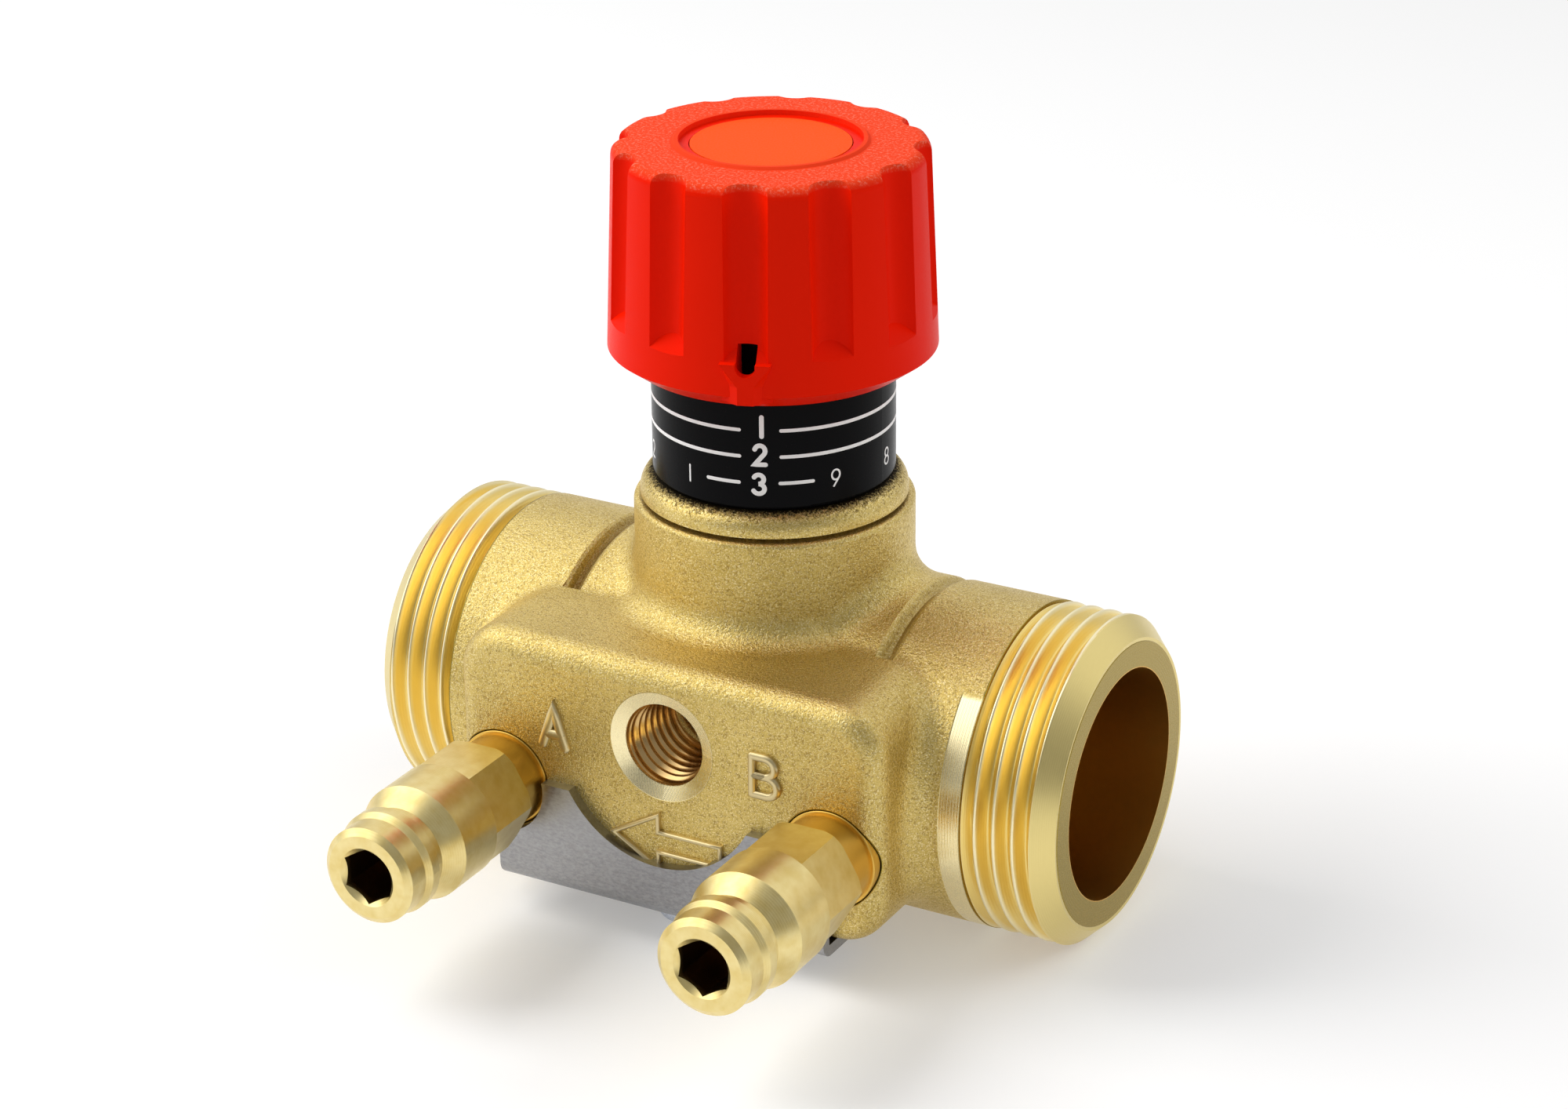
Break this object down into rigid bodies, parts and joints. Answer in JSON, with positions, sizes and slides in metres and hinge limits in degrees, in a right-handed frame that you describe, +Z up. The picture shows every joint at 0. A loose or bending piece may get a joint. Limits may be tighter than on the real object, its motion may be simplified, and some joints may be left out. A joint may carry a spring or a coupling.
{
  "type": "manual balancing valve",
  "caption": "Brass manual balancing valve with male-threaded pipe ends, red fluted hand knob over a black scale drum, measuring nipples held by a steel plate, and a threaded impulse port.",
  "frame": {"origin": "centre of the inlet's sealing face, on the pipe axis", "axes": "+X out of the inlet along the pipe axis, +Z up the stem to the hand knob, -Y to the measuring nipples"},
  "size_m": [0.076, 0.0629, 0.0761],
  "materials": {
    "cast_brass": "blasted casting",
    "bonnet_brass": "blasted forging",
    "machined_brass": "turned",
    "black_plastic": "gloss with white print",
    "red_plastic": "satin moulded",
    "orange_plastic": "satin moulded",
    "seal_rubber": "matte",
    "spring_steel": "plain",
    "plate_steel": "rolled sheet",
    "zinc_steel": "zinc plated"
  },
  "bodies": {
    "valve": {"valve_body": "cast_brass", "bonnet": "bonnet_brass", "bonnet_o_ring": "seal_rubber", "scale_drum": "black_plastic", "spindle_o_ring_low": "seal_rubber", "spindle_o_ring_high": "seal_rubber", "retaining_plate": "plate_steel", "plate_screw": "zinc_steel"},
    "cone": {"throttle_cone": "machined_brass", "cone_seal": "seal_rubber", "cone_clip": "spring_steel"},
    "handwheel": {"spindle": "machined_brass", "knob": "red_plastic", "knob_clip": "spring_steel", "stop_screw": "spring_steel", "knob_cap": "orange_plastic"},
    "nipple_a": {"measuring_nipple_a": "machined_brass", "nipple_a_o_ring": "seal_rubber"},
    "nipple_b": {"measuring_nipple_b": "machined_brass", "nipple_b_o_ring": "seal_rubber"}
  },
  "joints": [
    {"name": "cone_lift", "type": "slide", "parent": "valve", "child": "cone", "axis": [0, 0, 1], "range_m": [-0.0086, 0]},
    {"name": "knob_turn", "type": "hinge", "parent": "cone", "child": "handwheel", "pos_m": [-0.038, 0, 0.045], "axis": [0, 0, 1], "range_deg": [-1152, 0]},
    {"name": "nipple_a_turn", "type": "hinge", "parent": "valve", "child": "nipple_a", "pos_m": [-0.0562, -0.03, -0.0025], "axis": [0, -1, 0], "range_deg": [0, 180]},
    {"name": "nipple_b_turn", "type": "hinge", "parent": "valve", "child": "nipple_b", "pos_m": [-0.0198, -0.03, -0.0025], "axis": [0, -1, 0], "range_deg": [0, 180]}
  ],
  "couplings": [
    {"joint": "knob_turn", "follows": "cone_lift", "rad_per_m": 2337.9}
  ]
}
